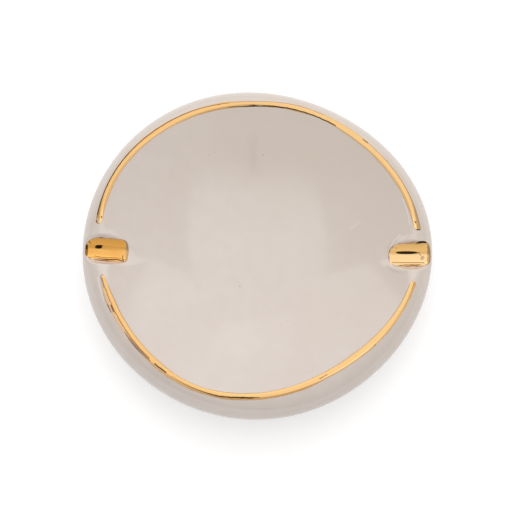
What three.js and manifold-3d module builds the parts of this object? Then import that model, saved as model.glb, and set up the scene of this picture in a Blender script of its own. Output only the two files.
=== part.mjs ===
// Ashtray: a glazed ceramic dish, pressed by hand, with two gilded cigarette rests and a gilded rim line.
// Millimetres, +Z up, origin on the table under the middle of the dish. The rests lie left and right.
import * as THREE from "three";
import { mergeVertices } from "three/addons/utils/BufferGeometryUtils.js";
import Module from "manifold-3d";

const wasm = await Module();
wasm.setup();

// Overall sizes
const WIDTH = 180; // across the two rests
const DEPTH = 177; // front to back
const HEIGHT = 36; // table to the top of the gilded rim line

// Foot and floor
const FOOT_INSET = 34; // outline to the outside of the foot ring
const FOOT_WIDTH = 5;
const FOOT_HEIGHT = 4;
const FOOT_DRAFT = 1.1; // how far each side of the foot ring leans
const FLOOR_THICKNESS = 9;

// Outer wall, rim and bowl
const SHOULDER_DROP = 11.5; // rim to the widest level of the outer wall
const SHOULDER_REACH = 16; // half length of the oval arc that rounds the wall over to the rim
const BELLY_FULLNESS = 0.62; // how full the wall is between the foot and its widest level, 0 to 1
const RIM_INSET = 9.1; // outline to the rim, on average
const RIM_SOFTNESS = 2; // height over which the rim is rounded
const FILLET_SOFTNESS = 5; // height over which a tongue runs out into the bowl
const BOWL_POWER = 2.2; // how late the bowl turns up towards its wall

// Pressed out of round: each swell adds up to "by" millimetres, "times" round, and crests at "at" degrees
const OUTLINE_SWELLS = [
  { times: 2, by: 0.4, at: -45 },
  { times: 3, by: 0.8, at: 9 },
  { times: 4, by: 0.4, at: 11 },
];
const INSET_SWELLS = [
  { times: 1, by: 0.28, at: 62 },
  { times: 2, by: 0.7, at: -76 },
  { times: 3, by: 0.8, at: -48 },
  { times: 4, by: 1, at: 25 },
];

// Cigarette rests: where each lies round the dish and how far its groove turns from the X axis, in degrees
const RIGHT_REST = { bearing: -3.3, turn: -1.7 };
const LEFT_REST = { bearing: 180.8, turn: -2.6 };
const RESTS = [RIGHT_REST, LEFT_REST];
const REST_RADIUS = 8.3; // of the groove's round bottom
const REST_DROP = 6.3; // rim to the groove's bottom at the outer wall
const REST_FALL = 5; // degrees that the groove falls towards the bowl
const REST_CUT = 40; // length of the groove's cut
const SADDLE_DIP = 3.6; // how far the rim sinks at a rest
const SADDLE_WIDTH = 10; // half width of that dip along the rim
const LIP_INSET = 3.4; // outline to the rim at a rest, where the rim swings out
const LIP_WIDTH = 9; // half width of that swing along the rim
const TONGUE_LENGTH = 24; // how far the tongue of clay under a rest reaches in from the outline
const TONGUE_WIDTH = 12.5; // its half width
const TONGUE_SINK = 0.6; // its top below the sunken rim
const TONGUE_FALLOFF = 7; // how far it has rolled down at its edge
const TONGUE_SQUARENESS = 3.2; // its shape from above: 2 is an oval, more is squarer
const TONGUE_FLATNESS = 13; // how late it rolls down towards its edge

// Gilding, and the gap at which it lies on the glaze
const GILDING_THICKNESS = 0.5;
const GILDING_GAP = 0.3;
const RIM_LINE_WIDTH = 3.5;
const BACK_LINE_STOP = 13.2; // end of the back line to the middle of a rest
const FRONT_LINE_STOP = 17.9; // the same for the front line

// Facets
const DIRECTIONS = 96; // sections round the dish
const CROWDING = 0.7; // how much closer the sections stand at the rests, 0 to 1
const LINE_STEPS = 6; // facets across the rim line
const ROUND_SIDES = 48;
const BOWL_STEPS = 15; // rows from the rim to the middle of the bowl
const BOWL_CROWDING = 0.7; // how much closer those rows stand at the rim, 0 to 1
const SHOULDER_STEPS = 8;
const BELLY_STEPS = 8;

// Heights that follow from the sizes above
const rimHeight = HEIGHT - GILDING_GAP - GILDING_THICKNESS;
const girthHeight = rimHeight - SHOULDER_DROP;
const floorHeight = FOOT_HEIGHT + FLOOR_THICKNESS;
const plainPeak = rimHeight + RIM_SOFTNESS / 4; // where bowl and shoulder would cross if the rim were sharp
const restFall = Math.tan(THREE.MathUtils.degToRad(REST_FALL));

const clayGlaze = new THREE.MeshStandardMaterial({ color: 0xd8ccc2, roughness: 0.18, metalness: 0 });
const goldLustre = () => new THREE.MeshStandardMaterial({ color: 0xe0aa5c, roughness: 0.16, metalness: 1 });

const radians = THREE.MathUtils.degToRad;
const swellAt = (swells, angle) =>
  swells.reduce((sum, swell) => sum + swell.by * Math.cos(swell.times * (angle - radians(swell.at))), 0);

// The lower of two heights, with the edge where they cross rounded off, and the higher, with a fillet there
function softLower(a, b, softness) {
  const overlap = Math.max(softness - Math.abs(a - b), 0) / softness;
  return Math.min(a, b) - (overlap * overlap * softness) / 4;
}
const softHigher = (a, b, softness) => -softLower(-a, -b, softness);

// Outline: a swollen round, stretched to the overall width and depth
const roughRadius = (angle) => WIDTH / 2 + swellAt(OUTLINE_SWELLS, angle);
const roughBox = new THREE.Box2();
for (let degree = 0; degree < 360; degree += 0.5) {
  const angle = radians(degree);
  const radius = roughRadius(angle);
  roughBox.expandByPoint(new THREE.Vector2(radius * Math.cos(angle), radius * Math.sin(angle)));
}
const stretch = new THREE.Vector2(WIDTH, DEPTH).divide(roughBox.getSize(new THREE.Vector2()));
const outlineMiddle = roughBox.getCenter(new THREE.Vector2()).multiply(stretch);

function outlineRadius(angle) {
  const alongX = Math.cos(angle) / stretch.x;
  const alongY = Math.sin(angle) / stretch.y;
  return roughRadius(Math.atan2(alongY, alongX)) / Math.hypot(alongX, alongY);
}

// 1 in the middle of a rest, falling to 0 along the rim on both sides of it
function nearRest(angle, halfWidth) {
  return RESTS.reduce((sum, rest) => {
    const turn = angle - radians(rest.bearing);
    const along = outlineRadius(angle) * Math.atan2(Math.sin(turn), Math.cos(turn));
    return sum + Math.exp(-((along / halfWidth) ** 2));
  }, 0);
}

// One section of the dish: its outline, its rim, and the rim as it would be without the rests
function sectionAt(angle) {
  const outline = outlineRadius(angle);
  const plainRim = outline - RIM_INSET - swellAt(INSET_SWELLS, angle);
  const rim = THREE.MathUtils.lerp(plainRim, outline - LIP_INSET, nearRest(angle, LIP_WIDTH));
  const dip = nearRest(angle, SADDLE_WIDTH);
  const peak = plainPeak - SADDLE_DIP * dip;
  const saddle = peak + RIM_SOFTNESS * (1 - dip); // bottom of the notch, over the rim away from the rests
  const rimReach = (rim - outline) / SHOULDER_REACH + 1;
  const shoulderRise = (peak - girthHeight) / Math.sqrt(1 - rimReach * rimReach);
  return { angle, outline, plainRim, rim, saddle, rimReach, shoulderRise };
}

// A rest's own axes: its mouth on the outline, the level way in from there, and the way across
function restAxes(rest) {
  const bearing = radians(rest.bearing);
  const side = Math.sign(Math.cos(bearing));
  const middle = new THREE.Vector2();
  const mouth = new THREE.Vector2(outlineRadius(bearing), 0).rotateAround(middle, bearing);
  const inward = new THREE.Vector2(-side, 0).rotateAround(middle, radians(rest.turn));
  return { mouth, inward };
}

// Height of the tongue of clay that carries a rest
function tongueHeight(rest, point) {
  const { mouth, inward } = restAxes(rest);
  const offset = point.clone().sub(mouth);
  const along = Math.max(offset.dot(inward), 0);
  const across = Math.abs(offset.cross(inward));
  const reach = (along / TONGUE_LENGTH) ** TONGUE_SQUARENESS + (across / TONGUE_WIDTH) ** TONGUE_SQUARENESS;
  const roll = TONGUE_FALLOFF * reach ** (TONGUE_FLATNESS / TONGUE_SQUARENESS);
  return plainPeak - SADDLE_DIP - TONGUE_SINK - (along - LIP_INSET) * restFall - roll;
}

// Height of the glaze, seen from above, at a radius in a section
function topHeight(section, radius) {
  const reach = (radius - section.outline) / SHOULDER_REACH + 1;
  const flatness = 1 - THREE.MathUtils.clamp(reach, 0, 1) ** 2;
  const shoulder = girthHeight + section.shoulderRise * Math.sqrt(flatness);
  const bowl = floorHeight + (plainPeak - floorHeight) * (radius / section.plainRim) ** BOWL_POWER;
  const notched = softLower(bowl, section.saddle - (section.rim - radius) * restFall, RIM_SOFTNESS);
  const point = new THREE.Vector2(Math.cos(section.angle), Math.sin(section.angle)).multiplyScalar(radius);
  const withTongue = (height, rest) => softHigher(height, tongueHeight(rest, point), FILLET_SOFTNESS);
  return softLower(RESTS.reduce(withTongue, notched), shoulder, RIM_SOFTNESS);
}

// The whole section of the body, from the middle of the underside round to the middle of the bowl
function bodySection(section) {
  const footOuter = section.outline - FOOT_INSET;
  const footInner = footOuter - FOOT_WIDTH;
  const underside = [
    new THREE.Vector2(0, FOOT_HEIGHT),
    new THREE.Vector2(footInner / 2, FOOT_HEIGHT),
    new THREE.Vector2(footInner - FOOT_DRAFT, FOOT_HEIGHT),
    new THREE.Vector2(footInner, 0),
    new THREE.Vector2(footOuter, 0),
  ];
  const bellyFoot = new THREE.Vector2(footOuter + FOOT_DRAFT, FOOT_HEIGHT);
  const girth = new THREE.Vector2(section.outline, girthHeight);
  const belly = new THREE.CubicBezierCurve(
    bellyFoot,
    new THREE.Vector2(THREE.MathUtils.lerp(bellyFoot.x, girth.x, BELLY_FULLNESS), bellyFoot.y + FOOT_HEIGHT),
    new THREE.Vector2(girth.x, THREE.MathUtils.lerp(girth.y, bellyFoot.y, BELLY_FULLNESS)),
    girth,
  );
  const shoulder = [];
  const rimAngle = Math.acos(section.rimReach);
  for (let step = 1; step < SHOULDER_STEPS; step += 1) {
    const radius = section.outline + SHOULDER_REACH * (Math.cos((rimAngle * step) / SHOULDER_STEPS) - 1);
    shoulder.push(new THREE.Vector2(radius, topHeight(section, radius)));
  }
  const bowl = Array.from({ length: BOWL_STEPS + 1 }, (_, step) => {
    const share = step / BOWL_STEPS;
    const radius = section.rim * (1 - share * THREE.MathUtils.lerp(1, share, BOWL_CROWDING));
    return new THREE.Vector2(radius, topHeight(section, radius));
  });
  return [...underside, ...belly.getPoints(BELLY_STEPS), ...shoulder, ...bowl];
}

// The closed section of the gilded line, which follows the rim at the gap of the gilding
function lineSection(section) {
  const across = (height) =>
    Array.from({ length: LINE_STEPS + 1 }, (_, step) => {
      const radius = section.rim + RIM_LINE_WIDTH * (step / LINE_STEPS - 0.5);
      return new THREE.Vector2(radius, topHeight(section, radius) + height);
    });
  const under = across(GILDING_GAP);
  const over = across(GILDING_GAP + GILDING_THICKNESS).reverse();
  return [...under, ...over, under[0]];
}

// Closed surface through one section for each direction round the dish, with more of them at the rests
function loftRound(makeSection) {
  const sections = Array.from({ length: DIRECTIONS }, (_, index) => {
    const turn = (2 * Math.PI * index) / DIRECTIONS;
    return sectionAt(turn - (CROWDING / 2) * Math.sin(2 * turn));
  });
  const geometry = new THREE.LatheGeometry(makeSection(sections[0]), DIRECTIONS);
  const position = geometry.getAttribute("position");
  const points = position.count / (DIRECTIONS + 1);
  for (let index = 0; index <= DIRECTIONS; index += 1) {
    const section = sections[index % DIRECTIONS];
    makeSection(section).forEach((point, place) => {
      const x = point.x * Math.cos(section.angle);
      const y = point.x * Math.sin(section.angle);
      position.setXYZ(index * points + place, x, y, point.y);
    });
  }
  return geometry;
}

// A solid from a closed geometry, with shared corners merged and empty facets left out
function toSolid(geometry) {
  const bare = geometry.clone();
  bare.deleteAttribute("normal");
  bare.deleteAttribute("uv");
  const merged = mergeVertices(bare);
  const corners = merged.index.array;
  const facets = [];
  for (let at = 0; at < corners.length; at += 3) {
    const [a, b, c] = corners.slice(at, at + 3);
    if (a !== b && b !== c && c !== a) facets.push(a, b, c);
  }
  const vertProperties = new Float32Array(merged.getAttribute("position").array);
  const triVerts = new Uint32Array(facets);
  return new wasm.Manifold(new wasm.Mesh({ numProp: 3, vertProperties, triVerts }));
}

function toMesh(name, solid, material) {
  const { vertProperties, triVerts } = solid.getMesh();
  const geometry = new THREE.BufferGeometry();
  geometry.setAttribute("position", new THREE.BufferAttribute(vertProperties, 3));
  geometry.setIndex(new THREE.BufferAttribute(triVerts, 1));
  geometry.computeVertexNormals();
  const mesh = new THREE.Mesh(geometry, material);
  mesh.name = name;
  return mesh;
}

// Round bar that lies in a rest's groove: the groove itself at full radius, its gilding at smaller ones
function grooveBar(rest, radius) {
  const { mouth, inward } = restAxes(rest);
  const axis = new THREE.Vector3(inward.x, inward.y, -restFall).normalize();
  const bar = new THREE.CylinderGeometry(radius, radius, 2 * REST_CUT, ROUND_SIDES);
  bar.applyQuaternion(new THREE.Quaternion().setFromUnitVectors(new THREE.Vector3(0, 1, 0), axis));
  bar.translate(mouth.x, mouth.y, rimHeight - REST_DROP + REST_RADIUS);
  return toSolid(bar);
}

// Wedge of the dish between two rests, with a round end for the painted line at each of its sides
function lineKeeper(fromRest, toRest, stop) {
  const stopAngle = (rest, side) => {
    const bearing = radians(rest.bearing);
    return bearing + (side * (stop + RIM_LINE_WIDTH / 2)) / outlineRadius(bearing);
  };
  const from = stopAngle(fromRest, 1);
  const to = stopAngle(toRest, -1);
  const reach = Math.max(WIDTH, DEPTH); // well past the outline
  const wedge = new THREE.Shape();
  wedge.moveTo(0, 0);
  wedge.lineTo(reach * Math.cos(from), reach * Math.sin(from));
  wedge.absarc(0, 0, reach, from, to < from ? to + 2 * Math.PI : to);
  wedge.closePath();
  const tall = 2 * HEIGHT;
  const options = { depth: tall, bevelEnabled: false, curveSegments: ROUND_SIDES };
  const sector = new THREE.ExtrudeGeometry(wedge, options);
  return [from, to].reduce((keeper, angle) => {
    const rim = sectionAt(angle).rim;
    const end = new THREE.CylinderGeometry(RIM_LINE_WIDTH / 2, RIM_LINE_WIDTH / 2, tall, ROUND_SIDES / 2);
    end.rotateX(Math.PI / 2);
    end.translate(rim * Math.cos(angle), rim * Math.sin(angle), tall / 2);
    return keeper.add(toSolid(end));
  }, toSolid(sector));
}

// Body: the lofted dish with a groove cut through it at each rest
const blank = toSolid(loftRound(bodySection));
const body = RESTS.reduce((solid, rest) => solid.subtract(grooveBar(rest, REST_RADIUS)), blank);

// Gilding of a rest: a thin coat on the whole of its groove, level with the glaze round it
function restGilding(rest) {
  const outer = REST_RADIUS - GILDING_GAP;
  return grooveBar(rest, outer).subtract(grooveBar(rest, outer - GILDING_THICKNESS)).intersect(blank);
}

// Gilding of the rim: one line right round, kept at the back and at the front between the rests
const rimLine = toSolid(loftRound(lineSection));
const backLine = rimLine.intersect(lineKeeper(RIGHT_REST, LEFT_REST, BACK_LINE_STOP));
const frontLine = rimLine.intersect(lineKeeper(LEFT_REST, RIGHT_REST, FRONT_LINE_STOP));

const ashtray = new THREE.Group();
ashtray.name = "ashtray";
ashtray.position.set(-outlineMiddle.x, -outlineMiddle.y, 0);
ashtray.add(
  toMesh("ceramic_body", body, clayGlaze),
  toMesh("rim_gilding_back", backLine, goldLustre()),
  toMesh("rim_gilding_front", frontLine, goldLustre()),
  toMesh("rest_gilding_left", restGilding(LEFT_REST), goldLustre()),
  toMesh("rest_gilding_right", restGilding(RIGHT_REST), goldLustre()),
);

export default ashtray;
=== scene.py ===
import math

import bpy
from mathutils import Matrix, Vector


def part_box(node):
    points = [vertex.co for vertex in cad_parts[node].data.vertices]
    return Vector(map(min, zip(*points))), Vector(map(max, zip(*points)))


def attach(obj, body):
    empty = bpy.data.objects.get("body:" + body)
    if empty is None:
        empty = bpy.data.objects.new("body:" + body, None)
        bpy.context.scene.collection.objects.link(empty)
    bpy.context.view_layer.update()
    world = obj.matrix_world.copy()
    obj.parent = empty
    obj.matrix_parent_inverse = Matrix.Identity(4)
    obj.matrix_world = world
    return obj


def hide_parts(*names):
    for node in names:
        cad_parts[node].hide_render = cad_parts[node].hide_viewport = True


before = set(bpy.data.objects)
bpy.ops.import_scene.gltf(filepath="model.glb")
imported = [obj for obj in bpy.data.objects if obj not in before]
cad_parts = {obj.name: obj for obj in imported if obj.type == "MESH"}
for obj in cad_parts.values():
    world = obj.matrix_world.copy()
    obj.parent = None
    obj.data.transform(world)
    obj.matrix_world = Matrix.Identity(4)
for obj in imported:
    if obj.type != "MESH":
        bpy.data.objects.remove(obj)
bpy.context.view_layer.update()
scene = bpy.context.scene
mm = 0.001
print("frame: nodes", ", ".join(sorted(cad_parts)))

# Camera: high above the front edge, looking along +Y
shot = {
    "aim": Vector((-0.75, -2.37, 23.08)) * mm,
    "distance": 0.9,
    "elevation": 71,  # degrees above the table
    "focalPixels": 1748,  # focal length in pixels of the square frame
    "framePixels": 512,
    "sensor": 36,
    "clipStart": 0.01,
}


def placeCamera():
    lens = bpy.data.cameras.new("camera")
    lens.sensor_width = shot["sensor"]
    lens.lens = shot["focalPixels"] / shot["framePixels"] * shot["sensor"]
    lens.clip_start = shot["clipStart"]
    eye = bpy.data.objects.new("camera", lens)
    scene.collection.objects.link(eye)
    tilt = math.radians(shot["elevation"])
    back = Vector((0, -math.cos(tilt), math.sin(tilt)))
    eye.location = shot["aim"] + back * shot["distance"]
    eye.rotation_euler = (-back).to_track_quat("-Z", "Y").to_euler()
    scene.camera = eye
    return eye


camera = placeCamera()
print("camera: placed")


# Node arithmetic: a wire is one socket of a tree, and sums on wires add Math nodes to that tree
class Wire:
    def __init__(self, tree, socket):
        self.tree = tree
        self.socket = socket

    def __add__(self, other):
        return calc("ADD", self, other)

    def __radd__(self, other):
        return calc("ADD", other, self)

    def __sub__(self, other):
        return calc("SUBTRACT", self, other)

    def __rsub__(self, other):
        return calc("SUBTRACT", other, self)

    def __mul__(self, other):
        return calc("MULTIPLY", self, other)

    def __rmul__(self, other):
        return calc("MULTIPLY", other, self)

    def __truediv__(self, other):
        return calc("DIVIDE", self, other)

    def __rtruediv__(self, other):
        return calc("DIVIDE", other, self)

    def __pow__(self, other):
        return calc("POWER", self, other)

    def __neg__(self):
        return calc("MULTIPLY", self, -1)

    def __abs__(self):
        return calc("ABSOLUTE", self)


plainMath = {"COSINE": math.cos, "SINE": math.sin, "ARCTAN2": math.atan2, "SQRT": math.sqrt}


# The sum as a node if a wire takes part, or else as a plain number
def calc(operation, *values):
    tree = next((value.tree for value in values if isinstance(value, Wire)), None)
    if tree is None:
        return plainMath[operation](*values)
    node = tree.nodes.new("ShaderNodeMath")
    node.operation = operation
    for socket, value in zip(node.inputs, values):
        plug(tree, value, socket)
    return Wire(tree, node.outputs[0])


def plug(tree, value, socket):
    if isinstance(value, Wire):
        tree.links.new(value.socket, socket)
    else:
        socket.default_value = value


def lower(a, b):
    return calc("MINIMUM", a, b)


def higher(a, b):
    return calc("MAXIMUM", a, b)


def clamp01(value):
    return lower(higher(value, 0), 1)


def mixed(a, b, share):
    return a + (b - a) * share


def hypot(x, y):
    return calc("SQRT", x * x + y * y)


# The lower of two heights with a rounded edge where they cross, and the higher with a fillet
def softLower(a, b, softness):
    overlap = higher(softness - abs(a - b), 0) / softness
    return lower(a, b) - overlap * overlap * softness / 4


def softHigher(a, b, softness):
    return -softLower(-a, -b, softness)


# Trees: geometry out, one named number in for each size
def startTree(name, sizes):
    tree = bpy.data.node_groups.new(name, "GeometryNodeTree")
    tree.interface.new_socket("Geometry", in_out="OUTPUT", socket_type="NodeSocketGeometry")
    for key in sizes:
        tree.interface.new_socket(key, in_out="INPUT", socket_type="NodeSocketFloat")
    given = tree.nodes.new("NodeGroupInput")
    return tree, {key: Wire(tree, given.outputs[key]) for key in sizes}


def addNode(tree, kind, values, output=0, **settings):
    node = tree.nodes.new(kind)
    for key, value in settings.items():
        setattr(node, key, value)
    for key, value in values.items():
        plug(tree, value, node.inputs[key])
    return Wire(tree, node.outputs[output])


def vector(tree, x, y, z):
    return addNode(tree, "ShaderNodeCombineXYZ", {"X": x, "Y": y, "Z": z})


# Grid of the unit square, as the geometry and its two running numbers from 0 to 1
def unitGrid(tree, columns, rows):
    sizes = {"Size X": 1.0, "Size Y": 1.0, "Vertices X": columns + 1, "Vertices Y": rows + 1}
    grid = addNode(tree, "GeometryNodeMeshGrid", sizes, "Mesh")
    place = addNode(tree, "GeometryNodeInputPosition", {})
    split = tree.nodes.new("ShaderNodeSeparateXYZ")
    tree.links.new(place.socket, split.inputs[0])
    return grid, Wire(tree, split.outputs["X"]) + 0.5, Wire(tree, split.outputs["Y"]) + 0.5


def setPlace(tree, geometry, place):
    return addNode(tree, "GeometryNodeSetPosition", {"Geometry": geometry, "Position": place})


def keepNumber(tree, geometry, name, value):
    values = {"Geometry": geometry, "Name": name, "Value": value}
    return addNode(tree, "GeometryNodeStoreNamedAttribute", values, data_type="FLOAT", domain="POINT")


mergeDistance = 0.001 * mm


def joinSheets(tree, sheets):
    join = tree.nodes.new("GeometryNodeJoinGeometry")
    for sheet in reversed(sheets):
        tree.links.new(sheet.socket, join.inputs[0])
    joined = Wire(tree, join.outputs[0])
    return addNode(tree, "GeometryNodeMergeByDistance", {"Geometry": joined, "Distance": mergeDistance})


def endTree(tree, geometry, material):
    smooth = addNode(tree, "GeometryNodeSetShadeSmooth", {"Geometry": geometry})
    real = addNode(tree, "GeometryNodeRealizeInstances", {"Geometry": smooth})
    done = addNode(tree, "GeometryNodeSetMaterial", {"Geometry": real, "Material": material})
    leave = tree.nodes.new("NodeGroupOutput")
    tree.links.new(done.socket, leave.inputs[0])


# Runs a tree once and keeps its result as a plain mesh
def makePiece(name, tree, sizes):
    piece = bpy.data.objects.new(name, bpy.data.meshes.new(name))
    scene.collection.objects.link(piece)
    shaper = piece.modifiers.new("shape", "NODES")
    for socket in tree.interface.items_tree:
        if socket.in_out == "INPUT":
            socket.default_value = sizes[socket.name]
    shaper.node_group = tree
    for socket in tree.interface.items_tree:
        if socket.in_out == "INPUT":
            shaper[socket.identifier] = sizes[socket.name]
    graph = bpy.context.evaluated_depsgraph_get()
    shaped = piece.evaluated_get(graph)
    mesh = bpy.data.meshes.new_from_object(shaped, preserve_all_data_layers=True, depsgraph=graph)
    piece.modifiers.remove(shaper)
    piece.data = mesh
    print("made", name, len(mesh.vertices), "points", len(mesh.polygons), "faces")
    return piece


# The dish: sizes of the rule that its glaze follows
bodyLow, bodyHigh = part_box("ceramic_body")
dish = {
    "width": bodyHigh.x - bodyLow.x,
    "depth": 177 * mm,
    "rimHeight": 35.2 * mm,
    "floorHeight": 13 * mm,
    "shoulderDrop": 11.5 * mm,  # rim to the widest level of the outer wall
    "shoulderReach": 16 * mm,
    "rimInset": 9.1 * mm,
    "rimSoftness": 2 * mm,
    "filletSoftness": 5 * mm,
    "bowlPower": 2.2,
    "restRadius": 8.3 * mm,
    "restDrop": 6.3 * mm,
    "restFall": math.tan(math.radians(5)),
    "restCut": 40 * mm,  # from the outline to the end of the groove
    "bowMiddle": 9.2 * mm,  # from the outline to where the groove falls as stated
    "sideClimb": 8,  # slope past the sides of the groove
    "lipSoftness": 1.4 * mm,
    "grooveShift": 0.6 * mm,  # the groove lies in front of the middle of its gold
    "flatOff": 2.7 * mm,  # from the groove's middle back to its flatter place
    "flatWidth": 1.5 * mm,
    "saddleDip": 3.6 * mm,  # of the rim at a rest
    "saddleWidth": 13.5 * mm,
    "lipInset": 3.4 * mm,  # from the outline to the rim there
    "lipWidth": 9 * mm,
    "tongueLength": 24 * mm,
    "tongueWidth": 12.5 * mm,
    "tongueSink": 0.6 * mm,
    "tongueFalloff": 7 * mm,
    "tongueSquareness": 3.2,
    "tongueFlatness": 13,
    "unevenness": 0.25 * mm,  # of the hand-smoothed surface
    "unevenScale": 26,  # waves in a metre
    "unevenFade": 4,  # how late the waves fade towards the outline
    "calmReach": 18 * mm,  # no waves nearer to a rest
    "unevenSeed": 4.2,
}
outlineSteps = 720
outlineSwells = [(2, 0.4 * mm, -45), (3, 0.8 * mm, 9), (4, 0.4 * mm, 11)]  # times round, height, bearing
insetSwells = [(1, 0.28 * mm, 62), (2, 0.7 * mm, -76), (3, 0.8 * mm, -48), (4, 1 * mm, 25)]
rests = {
    "right": {
        "bearing": -3.3,  # degrees, as are turn and fall
        "turn": -1.7,
        "fall": 4.6,
        "bow": 0,  # bend of its floor
        "flat": 0.04 * mm,  # rise of a flatter place on its far side
        "flatAt": 12 * mm,
        "flatLength": 20 * mm,
        "flatLean": 0,  # how far it turns from the groove's line
    },
    "left": {
        "bearing": 180.8,
        "turn": -2.6,
        "fall": 6.4,
        "bow": 2.1,
        "flat": 0.092 * mm,
        "flatAt": 8.4 * mm,
        "flatLength": 15 * mm,
        "flatLean": -0.06,
    },
}


def swellAt(swells, angle):
    return sum(by * calc("COSINE", (angle - math.radians(at)) * times) for times, by, at in swells)


def roughRadius(s, angle):
    return s["width"] / 2 + swellAt(outlineSwells, angle)


# The swollen round is stretched to the dish's width and depth
def fitOutline():
    spots = []
    for step in range(outlineSteps):
        angle = 2 * math.pi * step / outlineSteps
        radius = roughRadius(dish, angle)
        spots.append((radius * math.cos(angle), radius * math.sin(angle)))
    for axis, name, size in ((0, "X", dish["width"]), (1, "Y", dish["depth"])):
        low = min(spot[axis] for spot in spots)
        high = max(spot[axis] for spot in spots)
        dish["stretch" + name] = size / (high - low)
        dish["middle" + name] = (low + high) / 2 * dish["stretch" + name]


fitOutline()


def outlineRadius(s, angle):
    alongX = calc("COSINE", angle) / s["stretchX"]
    alongY = calc("SINE", angle) / s["stretchY"]
    return roughRadius(s, calc("ARCTAN2", alongY, alongX)) / hypot(alongX, alongY)


# Each rest's mouth on the outline, the level way in and the way across
for rest in rests.values():
    bearing = math.radians(rest["bearing"])
    turn = math.radians(rest["turn"])
    side = math.copysign(1, math.cos(bearing))
    reach = outlineRadius(dish, bearing)
    rest["mouth"] = (reach * math.cos(bearing), reach * math.sin(bearing))
    rest["inward"] = (-side * math.cos(turn), -side * math.sin(turn))
    rest["across"] = (-rest["inward"][1], rest["inward"][0])
    rest["backSign"] = math.copysign(1, rest["across"][1])


def restPlace(rest, x, y):
    offX = x - rest["mouth"][0]
    offY = y - rest["mouth"][1]
    along = offX * rest["inward"][0] + offY * rest["inward"][1]
    across = offX * rest["across"][0] + offY * rest["across"][1]
    return along, across


def nearRest(angle, outline, halfWidth):
    total = 0
    for rest in rests.values():
        turn = angle - math.radians(rest["bearing"])
        along = outline * calc("ARCTAN2", calc("SINE", turn), calc("COSINE", turn)) / halfWidth
        total = total + calc("EXPONENT", -(along * along))
    return total


# One section of the dish: outline, rim, and the rim as it would be without the rests
def sectionAt(s, angle):
    outline = outlineRadius(s, angle)
    plainRim = outline - s["rimInset"] - swellAt(insetSwells, angle)
    rim = mixed(plainRim, outline - s["lipInset"], nearRest(angle, outline, s["lipWidth"]))
    dip = nearRest(angle, outline, s["saddleWidth"])
    plainPeak = s["rimHeight"] + s["rimSoftness"] / 4
    girth = s["rimHeight"] - s["shoulderDrop"]
    peak = plainPeak - s["saddleDip"] * dip
    rimReach = (rim - outline) / s["shoulderReach"] + 1
    return {
        "outline": outline,
        "plainRim": plainRim,
        "rim": rim,
        "dip": dip,
        "plainPeak": plainPeak,
        "girth": girth,
        "saddle": peak + s["rimSoftness"] * (1 - dip),
        "rimReach": rimReach,
        "shoulderRise": (peak - girth) / calc("SQRT", 1 - rimReach * rimReach),
    }


# Height of the tongue of clay under a rest
def tongueHeight(s, plainPeak, along, across):
    inside = higher(along, 0)
    reach = (inside / s["tongueLength"]) ** s["tongueSquareness"]
    reach = reach + (abs(across) / s["tongueWidth"]) ** s["tongueSquareness"]
    roll = s["tongueFalloff"] * reach ** (s["tongueFlatness"] / s["tongueSquareness"])
    return plainPeak - s["saddleDip"] - s["tongueSink"] - (inside - s["lipInset"]) * s["restFall"] - roll


# Height of the round groove in a rest, climbing steeply past its sides and its inner end
def grooveHeight(s, rest, along, across):
    fall = math.tan(math.radians(rest["fall"])) + (along / 2 - s["bowMiddle"]) * rest["bow"]
    axis = s["rimHeight"] - s["restDrop"] + s["restRadius"] - along * fall
    off = across + s["grooveShift"] * rest["backSign"]
    dip = calc("SQRT", higher(s["restRadius"] * s["restRadius"] - off * off, 0))
    past = higher(abs(off) - s["restRadius"], 0) * s["sideClimb"] + higher(along - s["restCut"], 0)
    fromFlat = along - rest["flatAt"]
    flatX = fromFlat / rest["flatLength"]
    flatY = (off * rest["backSign"] - s["flatOff"] - fromFlat * rest["flatLean"]) / s["flatWidth"]
    flat = rest["flat"] * calc("EXPONENT", -(flatX * flatX + flatY * flatY))
    return axis - dip + past + flat


# Height of the glaze above a point, seen from above
def glazeHeight(s, section, radius, x, y):
    tree = radius.tree
    reach = clamp01((radius - section["outline"]) / s["shoulderReach"] + 1)
    shoulder = section["girth"] + section["shoulderRise"] * calc("SQRT", 1 - reach * reach)
    rise = section["plainPeak"] - s["floorHeight"]
    bowl = s["floorHeight"] + rise * (radius / section["plainRim"]) ** s["bowlPower"]
    notch = section["saddle"] - (section["rim"] - radius) * s["restFall"]
    height = softLower(bowl, notch, s["rimSoftness"])
    places = [(rest, *restPlace(rest, x, y)) for rest in rests.values()]
    for rest, along, across in places:
        tongue = tongueHeight(s, section["plainPeak"], along, across)
        height = softHigher(height, tongue, s["filletSoftness"])
    height = softLower(height, shoulder, s["rimSoftness"] * (1 + section["dip"]))
    calm = 1
    for rest, along, across in places:
        height = softLower(height, grooveHeight(s, rest, along, across), s["lipSoftness"])
        calm = calm * clamp01(hypot(along - s["bowMiddle"], across) / s["calmReach"] - 1)
    spot = vector(tree, x, y, 0.0)
    values = {"Vector": spot, "W": s["unevenSeed"], "Scale": s["unevenScale"], "Detail": 1.0}
    waves = addNode(tree, "ShaderNodeTexNoise", values, "Fac", noise_dimensions="4D")
    return height + (waves - 0.5) * s["unevenness"] * (1 - reach ** s["unevenFade"]) * calm


def turned(s, tree, radius, angle, height):
    x = radius * calc("COSINE", angle) - s["middleX"]
    y = radius * calc("SINE", angle) - s["middleY"]
    return vector(tree, x, y, height)


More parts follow.
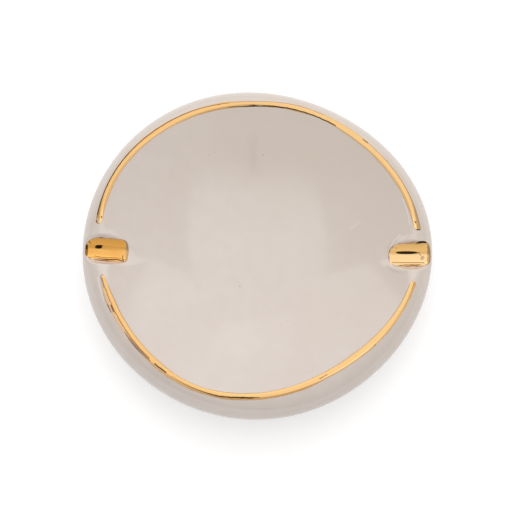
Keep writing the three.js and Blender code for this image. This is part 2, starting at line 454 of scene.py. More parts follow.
# Body: underside, belly, and the top from the widest level over the rim to the middle of the bowl
body = {
    "footInset": 34 * mm,
    "footWidth": 5 * mm,
    "footHeight": 4 * mm,
    "footDraft": 1.1 * mm,
    "footSoftness": 0.7 * mm,
    "footFillet": 1 * mm,
    "undersideCrowding": 1.8,  # how much closer the rows stand at the foot
    "bellyFullness": 0.62,
    "crowding": 0.75,  # how much closer the columns stand at the rests
    "shoulderShare": 0.28,  # of the top's rows
    "bowlCrowding": 0.55,  # how much closer the rows stand at the rim
}
bodyColumns = 480
undersideRows = 34
bellyRows = 22
topRows = 130


def columnAngle(s, u):
    turn = u * (2 * math.pi)
    return turn - s["crowding"] / 2 * calc("SINE", turn * 2)


def undersideSheet(s, tree):
    sheet, u, v = unitGrid(tree, bodyColumns, undersideRows)
    angle = columnAngle(s, u)
    footOuter = outlineRadius(s, angle) - s["footInset"]
    footInner = footOuter - s["footWidth"]
    radius = (footOuter + s["footDraft"] + s["footFillet"]) * (1 - (1 - v) ** s["undersideCrowding"])
    steep = s["footHeight"] / s["footDraft"]
    inner = (radius - footInner + s["footDraft"]) * steep
    outer = (footOuter + s["footDraft"] - radius) * steep
    ring = softHigher(lower(inner, outer), 0 * inner, s["footSoftness"])
    ring = softLower(ring, s["footHeight"], s["footSoftness"])
    return setPlace(tree, sheet, turned(s, tree, radius, angle, s["footHeight"] - ring))


def bellySheet(s, tree):
    sheet, u, v = unitGrid(tree, bodyColumns, bellyRows)
    angle = columnAngle(s, u)
    outline = outlineRadius(s, angle)
    girth = s["rimHeight"] - s["shoulderDrop"]
    foot = outline - s["footInset"] + s["footDraft"] + s["footFillet"]
    a = (1 - v) ** 3
    b = (1 - v) ** 2 * v * 3
    c = (1 - v) * v * v * 3
    d = v ** 3
    radius = a * foot + b * mixed(foot, outline, s["bellyFullness"]) + (c + d) * outline
    low = s["footHeight"]
    height = a * low + b * low * 2 + c * mixed(girth, low, s["bellyFullness"]) + d * girth
    return setPlace(tree, sheet, turned(s, tree, radius, angle, height))


def topSheet(s, tree):
    sheet, u, v = unitGrid(tree, bodyColumns, topRows)
    angle = columnAngle(s, u)
    section = sectionAt(s, angle)
    over = clamp01(v / s["shoulderShare"])
    arc = calc("ARCCOSINE", section["rimReach"]) * over
    shoulder = section["outline"] + s["shoulderReach"] * (calc("COSINE", arc) - 1)
    inside = clamp01((v - s["shoulderShare"]) / (1 - s["shoulderShare"]))
    share = inside * (1 - s["bowlCrowding"]) + inside * inside * s["bowlCrowding"]
    radius = shoulder - section["rim"] * share
    x = radius * calc("COSINE", angle)
    y = radius * calc("SINE", angle)
    height = glazeHeight(s, section, radius, x, y)
    return setPlace(tree, sheet, vector(tree, x - s["middleX"], y - s["middleY"], height))


def makeBody(material):
    sizes = {**dish, **body}
    tree, s = startTree("dishBody", sizes)
    sheets = [undersideSheet(s, tree), bellySheet(s, tree), topSheet(s, tree)]
    endTree(tree, joinSheets(tree, sheets), material)
    return makePiece("glazedDish", tree, sizes)


# Gilding: a film that stands a hair proud of the glaze and dips under it at its edge
def paintFilm(s, tree, sheet, place, along, across, edge):
    marks = {"along": along, "across": across, "edge": edge}
    for key, value in marks.items():
        sheet = keepNumber(tree, sheet, key, value)
    sheet = setPlace(tree, sheet, place)
    kept = addNode(tree, "GeometryNodeInputNamedAttribute", {"Name": "edge"}, data_type="FLOAT")
    proud = s["filmProud"] - (s["filmProud"] + s["filmSink"]) * kept ** s["edgeFirmness"]
    normal = addNode(tree, "GeometryNodeInputNormal", {})
    lift = addNode(tree, "ShaderNodeVectorMath", {0: normal, "Scale": proud}, operation="SCALE")
    top = addNode(tree, "GeometryNodeSetPosition", {"Geometry": sheet, "Offset": lift})
    values = {"Mesh": top, "Offset Scale": -1 * s["filmDepth"], "Individual": False}
    under = addNode(tree, "GeometryNodeExtrudeMesh", values, "Mesh")
    turnedUnder = addNode(tree, "GeometryNodeFlipFaces", {"Mesh": under})
    return joinSheets(tree, [top, turnedUnder])


strokeGain = 3


# Uneven hand along a stroke, from about -1 to 1
def strokeNoise(tree, along, lane, scale):
    values = {"Vector": vector(tree, along, lane, 0.0), "Scale": scale, "Detail": 2.0}
    return addNode(tree, "ShaderNodeTexNoise", values, "Fac") * strokeGain - strokeGain / 2


film = {"filmProud": 0.1 * mm, "filmSink": 0.06 * mm, "filmDepth": 0.3 * mm, "edgeFirmness": 12}

# Gold in the rests: a painted patch from lip to lip, narrower where it runs out over the outer wall
restGold = {
    "wobble": 0.3 * mm,
    "wobbleScale": 260,  # waves in a metre
    "wobblePower": 4,  # the higher a power, the nearer to the edge its effect stays
    "slantPower": 3.2,
    "roundPower": 3,
    "flarePower": 3,  # and the nearer to the outer end
}
restPaint = {
    "left": {
        "outerEnd": 1.3 * mm,  # from the outline
        "innerEnd": 24.2 * mm,
        "halfWidth": 6.5 * mm,
        "frontShare": 0.97,  # of the half width, on the near side
        "innerRound": 0.8 * mm,
        "backSlant": 5 * mm,
        "frontSlant": 6 * mm,
        "squareness": 7,
        "flare": 0,
    },
    "right": {
        "outerEnd": 0.7 * mm,
        "innerEnd": 23 * mm,
        "halfWidth": 6.65 * mm,
        "frontShare": 0.93,
        "innerRound": 3.4 * mm,
        "backSlant": 0.6 * mm,
        "frontSlant": 4 * mm,
        "squareness": 5.5,
        "flare": 0.3,
    },
}
restGoldColumns = 120
restGoldRows = 84
stepSharpness = 1000
tiny = 0.0001


def makeRestGold(side, material):
    rest = rests[side]
    name = side + "RestGold"
    sizes = {**dish, **film, **restGold, **restPaint[side]}
    tree, s = startTree(name, sizes)
    sheet, u, v = unitGrid(tree, restGoldColumns, restGoldRows)
    p = u * 2 - 1
    q = v * 2 - 1
    edge = higher(abs(p), abs(q))
    spread = (abs(p) ** s["squareness"] + abs(q) ** s["squareness"]) ** (1 / s["squareness"])
    shrink = edge / higher(spread, tiny)
    inside = p * shrink / 2 + 0.5  # 0 at the outer end, 1 at the inner end
    sideways = q * shrink
    towardBack = clamp01(sideways * rest["backSign"] * stepSharpness)
    slant = mixed(s["frontSlant"], s["backSlant"], towardBack) * abs(sideways) ** s["slantPower"]
    innerEnd = s["innerEnd"] - s["innerRound"] * abs(sideways) ** s["roundPower"]
    along = mixed(s["outerEnd"] + slant, innerEnd, inside)
    ripple = strokeNoise(tree, along, towardBack, s["wobbleScale"])
    flare = s["flare"] * towardBack * (1 - inside) ** s["flarePower"]
    width = s["halfWidth"] * (mixed(s["frontShare"], 1, towardBack) + flare)
    across = sideways * (width + ripple * s["wobble"] * abs(sideways) ** s["wobblePower"])
    x = rest["mouth"][0] + along * rest["inward"][0] + across * rest["across"][0]
    y = rest["mouth"][1] + along * rest["inward"][1] + across * rest["across"][1]
    height = glazeHeight(s, sectionAt(s, calc("ARCTAN2", y, x)), hypot(x, y), x, y)
    place = vector(tree, x - s["middleX"], y - s["middleY"], height)
    backward = across * rest["backSign"]
    endTree(tree, paintFilm(s, tree, sheet, place, along, backward, edge), material)
    return makePiece(name, tree, sizes)


# Gold on the rim: two brushed lines, fuller where the brush was reloaded, each with its own tips
rimGold = {"lineWidth": 3.85 * mm, "wobble": 0.22 * mm, "wobbleScale": 110}
rimLines = {
    "back": {
        "from": "right",
        "to": "left",
        "stop": 13.2 * mm,
        "tips": {"startTip": 1.8 * mm, "endTip": 2.4 * mm},
        "dabs": [  # bearing, more inside, more outside, spread
            (64, -0.7 * mm, 0, 7),
            (71, 0, 0.35 * mm, 8),
            (80, -0.35 * mm, 0, 7),
            (90, 0.1 * mm, -0.7 * mm, 8),
            (148, 0.1 * mm, -0.4 * mm, 18),
        ],
    },
    "front": {
        "from": "left",
        "to": "right",
        "stop": 17 * mm,
        "tips": {"startTip": 8 * mm, "endTip": 3 * mm},
        "dabs": [
            (194, -0.6 * mm, -0.4 * mm, 6),
            (203, 0.1 * mm, 1 * mm, 15),
            (230, 0.35 * mm, 0, 8),
            (246, -0.5 * mm, -0.05 * mm, 8),
            (285, -0.4 * mm, 0.5 * mm, 12),
            (315, 0.15 * mm, 0.3 * mm, 10),
            (340, 0, -0.3 * mm, 12),
        ],
    },
}
rimLineColumns = 1100
rimLineRows = 14


def makeRimLine(side, material):
    line = rimLines[side]
    name = side + "RimLine"
    start = math.radians(rests[line["from"]]["bearing"])
    end = math.radians(rests[line["to"]]["bearing"])
    if end < start:
        end += 2 * math.pi
    start += line["stop"] / outlineRadius(dish, start)
    end -= line["stop"] / outlineRadius(dish, end)
    sizes = {**dish, **film, **rimGold, **line["tips"], "startAngle": start, "endAngle": end}
    tree, s = startTree(name, sizes)
    sheet, u, v = unitGrid(tree, rimLineColumns, rimLineRows)
    angle = mixed(s["startAngle"], s["endAngle"], u)
    section = sectionAt(s, angle)
    along = section["rim"] * (angle - s["startAngle"])
    fromEnd = section["rim"] * (s["endAngle"] - angle)
    blunt = higher(higher(1 - along / s["startTip"], 1 - fromEnd / s["endTip"]), 0)
    taper = calc("SQRT", higher(1 - blunt * blunt, 0))
    inner = s["lineWidth"] / 2 + strokeNoise(tree, along, 0.3, s["wobbleScale"]) * s["wobble"]
    outer = s["lineWidth"] / 2 + strokeNoise(tree, along, 0.7, s["wobbleScale"]) * s["wobble"]
    for bearing, inside, outside, spread in line["dabs"]:
        off = (angle - math.radians(bearing)) / math.radians(spread)
        load = calc("EXPONENT", -(off * off))
        inner = inner + load * inside
        outer = outer + load * outside
    across = mixed(outer, -inner, v) * taper
    radius = section["rim"] + across
    x = radius * calc("COSINE", angle)
    y = radius * calc("SINE", angle)
    height = glazeHeight(s, section, radius, x, y)
    place = vector(tree, x - s["middleX"], y - s["middleY"], height)
    edge = higher(abs(v * 2 - 1), blunt)
    endTree(tree, paintFilm(s, tree, sheet, place, along, across, edge), material)
    return makePiece(name, tree, sizes)


# Materials
def startMaterial(name):
    material = bpy.data.materials.new(name)
    material.use_nodes = True
    tree = material.node_tree
    shader = next(node for node in tree.nodes if node.type == "BSDF_PRINCIPLED")
    return material, tree, shader


def objectPlace(tree):
    return addNode(tree, "ShaderNodeTexCoord", {}, "Object")


def noise(tree, place, scale, detail=2.0, rough=0.5):
    values = {"Vector": place, "Scale": scale, "Detail": detail, "Roughness": rough}
    return addNode(tree, "ShaderNodeTexNoise", values, "Fac")


def blendColours(tree, share, a, b):
    node = tree.nodes.new("ShaderNodeMix")
    node.data_type = "RGBA"
    plug(tree, share, node.inputs["Factor"])
    sockets = [socket for socket in node.inputs if socket.type == "RGBA"]
    plug(tree, a, sockets[0])
    plug(tree, b, sockets[1])
    return Wire(tree, next(socket for socket in node.outputs if socket.type == "RGBA"))


def ramp(value, low, high):
    return clamp01((value - low) / (high - low))


def attribute(tree, name):
    return addNode(tree, "ShaderNodeAttribute", {}, "Fac", attribute_name=name)


dotEdge = 0.02
dotCore = 0.55


# Sparse round dots: one cell in a few has a dot, of the given share of its cell
def dots(tree, place, scale, size, rarity):
    cells = tree.nodes.new("ShaderNodeTexVoronoi")
    plug(tree, place, cells.inputs["Vector"])
    cells.inputs["Scale"].default_value = scale
    colour = Wire(tree, cells.outputs["Color"])
    shade = addNode(tree, "ShaderNodeSeparateColor", {"Color": colour}, "Red")
    chosen = ramp(shade, rarity, rarity + dotEdge)
    return ramp(Wire(tree, cells.outputs["Distance"]), size, size * dotCore) * chosen


def addBump(tree, shader, height, strength, distance):
    values = {"Height": height, "Strength": strength, "Distance": distance}
    plug(tree, addNode(tree, "ShaderNodeBump", values), shader.inputs["Normal"])


# Scales are waves in a metre, and a pair is where a ramp starts and where it ends
glaze = {
    "pale": (0.685, 0.60, 0.54, 1),
    "deep": (0.645, 0.555, 0.495, 1),
    "warm": (0.65, 0.56, 0.48, 1),  # where the glaze ran thicker, at the back on the right
    "speck": (0.20, 0.14, 0.10, 1),
    "clay": (0.60, 0.50, 0.40, 1),
    "thin": (0.90, 0.86, 0.82, 1),  # painted highlights along edges, and a pale scratch
    "ior": 1.8,
    "roughness": 0.07,
    "clayRoughness": 0.85,
    "cloudScale": 16,
    "cloudShare": 0.65,
    "mottleScale": 140,
    "mottleRoughness": 0.1,
    "tones": (0.36, 0.64),
    "thickening": (-20 * mm, 100 * mm),  # of X and Y together
    "thickWander": 60 * mm,
    "thickShare": 0.7,
    "speckScale": 120,
    "speckSize": 0.055,
    "speckRarity": 0.86,
    "speckShare": 0.75,
    "markHeight": (12 * mm, 14 * mm),  # no mark is lower, on the underside
    "markShare": 0.7,
    "clayLevel": 0.45 * mm,  # the foot is wiped bare below this
    "claySoftness": 0.12 * mm,
    "clayWaveScale": 220,
    "clayTones": (0.35, 0.65),
    "grainScale": 900,
    "rippleScale": 300,
    "ripple": 0.5,
    "clayGrain": 3,
    "bumpStrength": 0.12,
    "bumpDepth": 0.12 * mm,
    "marks": [  # as on the gold, with places in millimetres to the right and to the back
        # the first three are painted highlights: beside the right rest, inside the back rim line and
        # outside the front rim line's left tip; the fourth is a scratch
        ("thin", 0.3, 0.4, [(68.2, 0.8), (70.2, 3.9), (73.1, 6.5)]),
        ("thin", 0.3, 0.25, [(74.9, 24.8), (76.9, 18), (78, 10.9)]),
        ("thin", 0.5, 0.35, [(-80.9, -17.5), (-79.4, -24), (-77.6, -29.6)]),
        ("thin", 0.2, 0.2, [(48.2, 13.4), (53.4, 16.6)]),
        ("speck", 0.5, 0.4, [(67.2, 45.5), (67.5, 45.6)]),
        ("speck", 0.4, 0.4, [(3, 53.8), (3.2, 53.9)]),
    ],
}


def warmGlaze():
    material, tree, shader = startMaterial("warmGlaze")
    place = objectPlace(tree)
    cloud = noise(tree, place, glaze["cloudScale"], 3)
    mottle = noise(tree, place, glaze["mottleScale"], 4)
    tone = ramp(mixed(mottle, cloud, glaze["cloudShare"]), *glaze["tones"])
    spot = tree.nodes.new("ShaderNodeSeparateXYZ")
    plug(tree, place, spot.inputs[0])
    alongX, alongY, height = (Wire(tree, socket) for socket in spot.outputs)
    colour = blendColours(tree, tone, glaze["pale"], glaze["deep"])
    thick = ramp(alongX + alongY + (cloud - 0.5) * glaze["thickWander"], *glaze["thickening"])
    colour = blendColours(tree, thick * glaze["thickShare"], colour, glaze["warm"])
    specks = dots(tree, place, glaze["speckScale"], glaze["speckSize"], glaze["speckRarity"])
    colour = blendColours(tree, specks * glaze["speckShare"], colour, glaze["speck"])
    marked = ramp(height, *glaze["markHeight"]) * glaze["markShare"]
    for tone, startWidth, endWidth, path in glaze["marks"]:
        cover = pathCover(alongX / mm, alongY / mm, startWidth, endWidth, path)
        colour = blendColours(tree, cover * marked, colour, glaze[tone])
    grain = noise(tree, place, glaze["grainScale"], 3)
    level = glaze["clayLevel"] * (0.6 + noise(tree, place, glaze["clayWaveScale"], 2) * 0.8)
    bare = ramp(height, level + glaze["claySoftness"], level)
    clay = blendColours(tree, ramp(grain, *glaze["clayTones"]), glaze["clay"], glaze["deep"])
    plug(tree, blendColours(tree, bare, colour, clay), shader.inputs["Base Color"])
    gloss = glaze["roughness"] + mottle * glaze["mottleRoughness"]
    plug(tree, mixed(gloss, glaze["clayRoughness"], bare), shader.inputs["Roughness"])
    shader.inputs["IOR"].default_value = glaze["ior"]
    ripple = noise(tree, place, glaze["rippleScale"], 2) * glaze["ripple"]
    bumps = ripple + grain * bare * glaze["clayGrain"]
    addBump(tree, shader, bumps, glaze["bumpStrength"], glaze["bumpDepth"])
    return material


gold = {
    "pale": (0.68, 0.45, 0.205, 1),  # thinner lustre, more of it towards the right side of the dish
    "lemon": (0.73, 0.55, 0.31, 1),
    "bright": (0.66, 0.355, 0.1, 1),
    "deep": (0.59, 0.29, 0.07, 1),
    "rolledShade": (0.42, 0.26, 0.13, 1),  # painted shade where a coat turns down, at its ends and over the near lip
    "pink": (0.58, 0.37, 0.27, 1),  # thinnest, near an edge and between brush hairs
    "blush": (0.74, 0.55, 0.42, 1),  # thin, at the tip of the back line
    "wornAndHighlightStraw": (0.84, 0.62, 0.32, 1),  # worn, on the near side of a groove, and partly a painted highlight on the near lip
    "litAmber": (0.78, 0.385, 0.085, 1),  # painted light: brighter gold on the far wall of a groove
    # painted light: brighter gold on the far wall of the right groove
    "litHoney": (0.92, 0.55, 0.20, 1),
    "highlightSun": (0.95, 0.59, 0.26, 1),  # painted highlight along one edge of a rim line
    "peach": (0.97, 0.65, 0.40, 1),  # pinker, on the left of the front line
    "dusk": (0.40, 0.27, 0.20, 1),  # faint streaks on the rim
    "smoke": (0.24, 0.15, 0.12, 1),  # scratches and a smudge
    "brown": (0.20, 0.085, 0.02, 1),
    "blackMarkAndShade": (0.045, 0.022, 0.004, 1),  # pits and scorched ends, and painted shade at the outer end of the left rest
}

# Each coat's marks have a tone, a width at either end, and the places that they pass, in millimetres
# along the coat and across it: outwards on the rim, and towards the back in a rest
coats = {
    "left": {
        "thinTone": "pale",
        "roughness": 0.005,
        "dents": 0.012,
        "thinLeft": 0,  # share of the thin tone on the left of the dish
        "thinRight": 0,
        "hairs": 0.1,  # how clearly the brush hairs show
        "outline": 0.88,  # where the edge starts to thin, of the way from the middle to the edge
        "innerOutline": 1,  # how dark the edge is towards the bowl
        "highlightEdge": 0,  # the edge with a painted highlight: 1 is away from the bowl, 0 is neither
        "wornFrom": 4.2,  # millimetres to the near side of the middle
        "wornThin": 0.5,  # how far the glaze shows through there
        "litFarTone": "litAmber",
        "marks": [
            # painted shade where the coat turns down at its inner end
            ("rolledShade", 2.0, 2.2, [(23.5, 5), (23.7, -6)]),
            # these two marks paint the outer end dark: painted shade where the gold turns down over the
            # outer wall
            ("blackMarkAndShade", 2, 2.2, [(2, 1.8), (2, 0)]),
            ("brown", 2.2, 2.2, [(2, -0.6), (2.1, -3)]),
            (
                "brown",
                0.7,
                0.9,
                [(7.6, -5.7), (10.3, -5.4), (12.2, -5), (14.7, -4.6), (18.6, -4.2), (21.2, -4.9)],
            ),
            # painted shade where the coat turns down over the near lip
            ("rolledShade", 1.2, 0.8, [(7.5, -5.9), (14, -5.6)]),
            ("brown", 0.35, 0.3, [(6.9, -3), (10.2, -3.5), (14, -3.3), (20.5, -3)]),
            ("brown", 0.35, 0.7, [(20.8, -1.6), (21.8, -5)]),
            ("brown", 0.5, 0.4, [(3.3, 4.4), (4.4, 3.4)]),
            ("brown", 0.5, 0.4, [(3.7, -4.3), (7.2, -6.3)]),
        ],
    },
    "right": {
        "thinTone": "lemon",
        "roughness": 0.005,
        "dents": 0.012,
        "thinLeft": 0,
        "thinRight": 0.75,
        "hairs": 0.25,
        "outline": 0.88,
        "innerOutline": 1,
        "highlightEdge": 0,
        "wornFrom": 4.5,
        "wornThin": 0.6,
        "litFarTone": "litHoney",
        "marks": [
            # painted shade where the coat turns down at its outer end
            ("rolledShade", 1.8, 1.8, [(2.1, 6.5), (2.1, -5)]),
            ("blackMarkAndShade", 0.2, 1.7, [(8.9, 6.2), (4.3, 7.2)]),
            ("brown", 0.45, 0.45, [(20.9, -3.1), (4.7, -3.3)]),
            ("brown", 0.7, 0.3, [(18.9, -5.8), (16.8, -5.3), (14.8, -5.5)]),
            ("brown", 0.3, 0.8, [(14.8, -5.5), (9.7, -5.2), (7.5, -5.8)]),
            ("smoke", 0.3, 0.3, [(7.1, 2), (6.1, 0.5)]),
            ("smoke", 0.3, 0.25, [(6.5, -1.1), (5.4, -0.1), (4.2, -0.5)]),
            ("smoke", 0.3, 0.25, [(6, 0.4), (5.4, -0.7), (4.7, -1.6)]),
            ("smoke", 0.3, 0.25, [(4.8, 0.4), (5.2, -0.7), (6.2, -1.7)]),
            ("pink", 0.6, 0.4, [(20.9, 4.3), (20.3, 4.6)]),
            ("pink", 0.6, 0.4, [(18.9, 4.4), (18.4, 4.1)]),
        ],
    },
    "back": {
        "thinTone": "pale",
        "roughness": 0.05,
        "dents": 0.1,
        "thinLeft": 0.6,
        "thinRight": 0.9,
        "hairs": 0.4,
        "outline": 0.84,
        "innerOutline": 0.25,
        "highlightEdge": -1,
        "wornFrom": 9,  # more than the line's width, so none
        "wornThin": 0,
        "litFarTone": "bright",
        "marks": [
            ("blackMarkAndShade", 0.5, 0.7, [(0.3, 1), (0.3, -1.2)]),
            ("dusk", 0.3, 0.3, [(2, 1.45), (30, 1.3), (52, 1.3)]),
            ("blackMarkAndShade", 0.6, 0.5, [(4.3, -0.3), (4.7, -0.5)]),
            ("brown", 0.6, 0.5, [(53, 1.3), (56, 1.2)]),
            ("blackMarkAndShade", 0.45, 0.65, [(71.5, -0.75), (80, -0.78), (94, -0.8), (106, -1.07)]),
            ("blackMarkAndShade", 0.65, 0.25, [(106, -1.07), (112, -1.45), (118, -1.7), (125, -1.6), (131, -1.2)]),
            ("dusk", 0.4, 0.5, [(80, 1.55), (97, 1.5), (108, 1.1), (118, 0.85), (130, 0.9)]),
            ("brown", 0.4, 0.6, [(130, 0.9), (150, 1.35), (158, 1.3), (179, 0.95), (197, 0.86)]),
            ("blackMarkAndShade", 0.45, 0.55, [(197, 0.86), (220, 1), (233, 1.25)]),
            ("blush", 1.4, 1.2, [(235.4, 0.7), (237.4, -0.2)]),
            ("blackMarkAndShade", 0.6, 0.4, [(233.7, -1), (234.3, -1.3)]),
            ("blackMarkAndShade", 0.4, 0.3, [(236.2, 1.2), (237.2, 0.4)]),
        ],
    },
    "front": {
        "thinTone": "pale",
        "roughness": 0.05,
        "dents": 0.1,
        "thinLeft": 0.6,
        "thinRight": 0.9,
        "hairs": 0.4,
        "outline": 0.84,
        "innerOutline": 0.25,
        "highlightEdge": 1,
        "wornFrom": 9,  # more than the line's width, so none
        "wornThin": 0,
        "litFarTone": "bright",
        "marks": [
            ("peach", 1.7, 1.6, [(2, 1.5), (20, 1.9), (36, 1.5)]),
            ("dusk", 0.3, 1.2, [(33, 1.5), (42, 1.35)]),
            ("dusk", 1.2, 0.4, [(42, 1.35), (53, 0.9)]),
            ("blackMarkAndShade", 0.5, 0.4, [(0.7, 1.1), (1.6, 1)]),
            ("dusk", 0.8, 0.7, [(2.5, 0.8), (7.5, 0.8)]),
            ("brown", 0.35, 0.4, [(8, 0.6), (20, 0.75), (35, 0.6), (52, 0.4)]),
            ("brown", 0.5, 0.4, [(17.5, 1.1), (21, 1.3)]),
            ("blackMarkAndShade", 0.4, 0.4, [(16.5, 2.5), (20.5, 2.6)]),
            ("blackMarkAndShade", 0.55, 0.5, [(56, 0.5), (63.5, 0.45)]),
            ("blackMarkAndShade", 0.05, 0.5, [(67, 0.4), (78, 0.6), (86, 0.75), (92, 0.9)]),
            ("blackMarkAndShade", 0.5, 0.8, [(92, 0.9), (98, 0.7), (103, 0.55)]),
            ("blackMarkAndShade", 0.8, 0.2, [(103, 0.55), (107, 0.65), (111, 0.9)]),
            ("smoke", 0.5, 0.4, [(138, 0.5), (142, 0.4)]),
            ("blackMarkAndShade", 0.35, 0.25, [(171.7, 2.3), (172.6, 1.4)]),
        ],
    },
}
markSoftness = 0.22

# What all coats share: scales are waves in a metre, and a pair is where a ramp starts and where it ends
lustre = {
    "streakScale": 1500,
    "streakLength": 0.12,  # less is longer
    "streakRoughness": 0.03,
    "cloudScale": 170,
    "cloudShare": 0.6,
    "tones": (0.36, 0.64),
    "hairs": (0.56, 0.74),
    "thinning": (-60 * mm, 90 * mm),  # from the left of the dish to the right
    # painted light: where the far wall of a groove is coloured brighter
    "litFarSide": (1.1 * mm, 2.1 * mm),
    "litFarEnd": (6.4 * mm, 5.6 * mm),
    "highlightSide": (0.5 * mm, 1.3 * mm),
    "highlightEnds": (25 * mm, 55 * mm),  # from the middle of the dish to its sides
    "outerHalf": (-0.5 * mm, 0.5 * mm),
    "wornSpread": 0.4,  # millimetres
    "pinkEdge": (0, 0.07),  # past the outline
    "brownEdge": (0.05, 0.09),
    "pitScale": 330,
    "pitSize": 0.1,
    "pitRarity": 0.95,
    "raggedScale": 420,
    "raggedEdge": 0.16,
    "raggedWear": 0.9,  # millimetres, as are the next two
    "raggedAlong": 0.9,
    "raggedAcross": 0.5,
    "dentScale": 240,
    "dentStreak": 0.12,
    "dentDepth": 0.12 * mm,
}


# How far a point is covered by a path of strokes, whose width changes evenly from one end to the other
def pathCover(x, y, startWidth, endWidth, path):
    cover = 0.0
    steps = len(path) - 1
    for step, (start, end) in enumerate(zip(path, path[1:])):
        stepX = end[0] - start[0]
        stepY = end[1] - start[1]
        share = clamp01(((x - start[0]) * stepX + (y - start[1]) * stepY) / (stepX ** 2 + stepY ** 2))
        off = hypot(x - start[0] - share * stepX, y - start[1] - share * stepY)
        width = startWidth + (endWidth - startWidth) * (share + step) / steps
        cover = higher(cover, clamp01((width / 2 - off) / markSoftness + 0.5))
    return cover


def goldLustre(name, coat):
    material, tree, shader = startMaterial(name)
    place = objectPlace(tree)
    side = addNode(tree, "ShaderNodeSeparateXYZ", {0: place}, "X")
    along = attribute(tree, "along")
    across = attribute(tree, "across")
    values = {"X": along * lustre["streakLength"], "Y": across}
    streak = noise(tree, addNode(tree, "ShaderNodeCombineXYZ", values), lustre["streakScale"], 3, 0.6)
    cloud = noise(tree, place, lustre["cloudScale"], 3)
    ragged = noise(tree, place, lustre["raggedScale"], 2) - 0.5
    pastOutline = attribute(tree, "edge") + ragged * lustre["raggedEdge"] - coat["outline"]
    thin = mixed(coat["thinLeft"], coat["thinRight"], ramp(side, *lustre["thinning"]))
    # painted light: the far wall of a groove, and the outer edge of a rim line, get a brighter tone
    far = ramp(across, *lustre["litFarSide"]) * ramp(across, *lustre["litFarEnd"])
    # painted highlight along one edge of a rim line, towards the sides of the dish
    highlightShare = ramp(across * coat["highlightEdge"], *lustre["highlightSide"]) * ramp(abs(side), *lustre["highlightEnds"])
    wear = ragged * lustre["raggedWear"] - across / mm - coat["wornFrom"]
    worn = ramp(wear, 0, lustre["wornSpread"])
    outlined = mixed(coat["innerOutline"], 1, ramp(across, *lustre["outerHalf"]))
    layers = [
        (thin, gold[coat["thinTone"]]),
        (ramp(streak, *lustre["hairs"]) * coat["hairs"], gold["pink"]),
        (far, gold[coat["litFarTone"]]),
        (highlightShare, gold["highlightSun"]),
        # worn gold on the near side of a groove, partly a painted highlight
        (worn, gold["wornAndHighlightStraw"]),
        (ramp(pastOutline, *lustre["pinkEdge"]), gold["pink"]),
        (ramp(pastOutline, *lustre["brownEdge"]) * outlined, gold["brown"]),
        (dots(tree, place, lustre["pitScale"], lustre["pitSize"], lustre["pitRarity"]), gold["blackMarkAndShade"]),
    ]
    x = along / mm + ragged * lustre["raggedAlong"]
    y = across / mm + ragged * lustre["raggedAcross"]
    for tone, startWidth, endWidth, path in coat["marks"]:
        layers.append((pathCover(x, y, startWidth, endWidth, path), gold[tone]))
    depth = ramp(mixed(streak, cloud, lustre["cloudShare"]), *lustre["tones"])
    colour = blendColours(tree, depth, gold["bright"], gold["deep"])
    for share, over in layers:
        colour = blendColours(tree, share, colour, over)
    plug(tree, colour, shader.inputs["Base Color"])
    plug(tree, 1 - worn * coat["wornThin"], shader.inputs["Metallic"])
    plug(tree, coat["roughness"] + streak * lustre["streakRoughness"], shader.inputs["Roughness"])
    dents = noise(tree, place, lustre["dentScale"], 2) + streak * lustre["dentStreak"]
    addBump(tree, shader, dents, coat["dents"], lustre["dentDepth"])
    return material


glazeMaterial = warmGlaze()
goldMaterials = {side: goldLustre(side + "Lustre", coat) for side, coat in coats.items()}
print("materials: ready")

pieces = {"ceramic_body": (makeBody(glazeMaterial), "glazed_body")}
for side in rests:
    pieces["rest_gilding_" + side] = (makeRestGold(side, goldMaterials[side]), "rest_gold")
for side in rimLines:
    pieces["rim_gilding_" + side] = (makeRimLine(side, goldMaterials[side]), "rim_gold")

for node, (piece, slot) in pieces.items():
    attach(piece, "root")
    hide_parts(node)

# Studio: white floor, white surroundings and soft lamps
studio = {
    "floorSize": 24,
    "floorColour": (0.7, 0.7, 0.7, 1),
    "floorRoughness": 0.9,
    "floorLift": 0.45,  # added where the floor is seen or mirrored, so that it is white
    "horizon": 0.615,  # glow of the room at eye level
    "zenith": 0.835,  # and overhead
    "rightward": 0.16,  # how much lighter the room is on the right, at eye level
}
# Glow is the brightness of a lamp's face, and feather the stretch at its front where it comes up
lamps = {
    "overheadLamp": {"at": (0, 0.19, 1.5), "size": (1.15, 1.28), "glow": 0.47, "feather": 0.4},
    "backLamp": {"at": (0, 1.4, 1.17), "size": (0.75, 0.5), "glow": 0.2, "feather": 0},
    "backWall": {"at": (0, 1.75, 1.1), "size": (3.2, 2.2), "glow": 0.52, "feather": 0},
    "frontWall": {"at": (0, -1.7, 1.3), "size": (3.2, 2), "glow": 0.08, "feather": 0},
}
featherSteps = 5
lampGap = 0.003
wattsPerGlow = 4  # for a square metre
cameraCard = {"wide": 0.029, "tall": 0.27, "sides": 48, "colour": (0.02, 0.02, 0.02, 1)}


def seenDirectly(tree):
    path = tree.nodes.new("ShaderNodeLightPath")
    rays = [Wire(tree, path.outputs[f"Is {kind} Ray"]) for kind in ("Camera", "Glossy", "Transmission")]
    return higher(higher(rays[0], rays[1]), rays[2])


def makeWorld():
    world = bpy.data.worlds.new("surroundings")
    scene.world = world
    world.use_nodes = True
    tree = world.node_tree
    light = next(node for node in tree.nodes if node.type == "BACKGROUND")
    light.inputs["Color"].default_value = (1, 1, 1, 1)
    way = addNode(tree, "ShaderNodeTexCoord", {}, "Generated")
    toRight = addNode(tree, "ShaderNodeSeparateXYZ", {0: way}, "X")
    rise = addNode(tree, "ShaderNodeSeparateXYZ", {0: way}, "Z")
    eyeLevel = studio["horizon"] * (1 + toRight * studio["rightward"])
    plug(tree, mixed(eyeLevel, studio["zenith"], clamp01(rise)), light.inputs["Strength"])


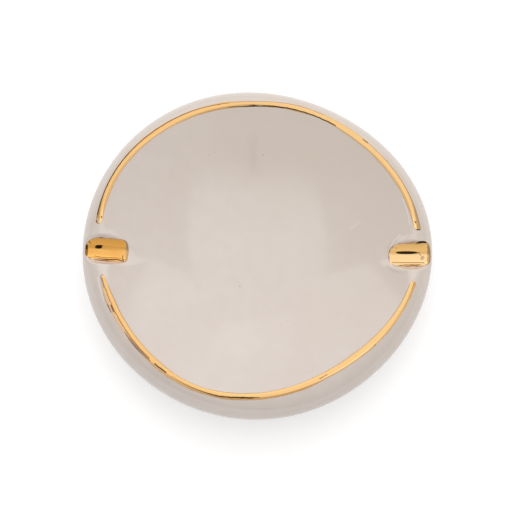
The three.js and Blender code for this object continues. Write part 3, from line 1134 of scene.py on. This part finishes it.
def makeFloor():
    half = studio["floorSize"] / 2
    mesh = bpy.data.meshes.new("floor")
    corners = [(-half, -half, 0), (half, -half, 0), (half, half, 0), (-half, half, 0)]
    mesh.from_pydata(corners, [], [(0, 1, 2, 3)])
    floor = bpy.data.objects.new("floor", mesh)
    scene.collection.objects.link(floor)
    material, tree, shader = startMaterial("whiteFloor")
    shader.inputs["Base Color"].default_value = studio["floorColour"]
    shader.inputs["Roughness"].default_value = studio["floorRoughness"]
    shader.inputs["Emission Color"].default_value = (1, 1, 1, 1)
    plug(tree, seenDirectly(tree) * studio["floorLift"], shader.inputs["Emission Strength"])
    mesh.materials.append(material)


# A feathered lamp is a stack of lamps, each a little shorter at the front than the one before
def makeLamps():
    for name, lamp in lamps.items():
        wide, tall = lamp["size"]
        turn = (-Vector(lamp["at"])).to_track_quat("-Z", "Y")
        steps = featherSteps if lamp["feather"] else 1
        for step in range(steps):
            short = lamp["feather"] * step / steps
            light = bpy.data.lights.new(name, "AREA")
            light.shape = "RECTANGLE"
            light.size = wide
            light.size_y = tall - short
            light.energy = lamp["glow"] / steps * wattsPerGlow * light.size * light.size_y
            holder = bpy.data.objects.new(name, light)
            scene.collection.objects.link(holder)
            holder.location = Vector(lamp["at"]) + turn @ Vector((0, -short / 2, step * lampGap))
            holder.rotation_euler = turn.to_euler()


# A dark oval card in the camera's place, unseen by the camera, for the dark slits in the gold
def makeCameraCard():
    material, tree, shader = startMaterial("blackCard")
    shader.inputs["Base Color"].default_value = cameraCard["colour"]
    shader.inputs["Roughness"].default_value = 1
    mesh = bpy.data.meshes.new("cameraCard")
    sides = cameraCard["sides"]
    wide = cameraCard["wide"] / 2
    tall = cameraCard["tall"] / 2
    turns = [2 * math.pi * step / sides for step in range(sides)]
    rim = [(wide * math.cos(turn), tall * math.sin(turn), 0) for turn in turns]
    mesh.from_pydata(rim, [], [tuple(range(sides))])
    mesh.materials.append(material)
    card = bpy.data.objects.new("cameraCard", mesh)
    scene.collection.objects.link(card)
    card.location = camera.location
    card.rotation_euler = camera.location.to_track_quat("Z", "Y").to_euler()
    card.visible_camera = False
    card.visible_shadow = False


makeWorld()
makeFloor()
makeCameraCard()
makeLamps()
scene.view_settings.view_transform = "Standard"
print("studio: ready")
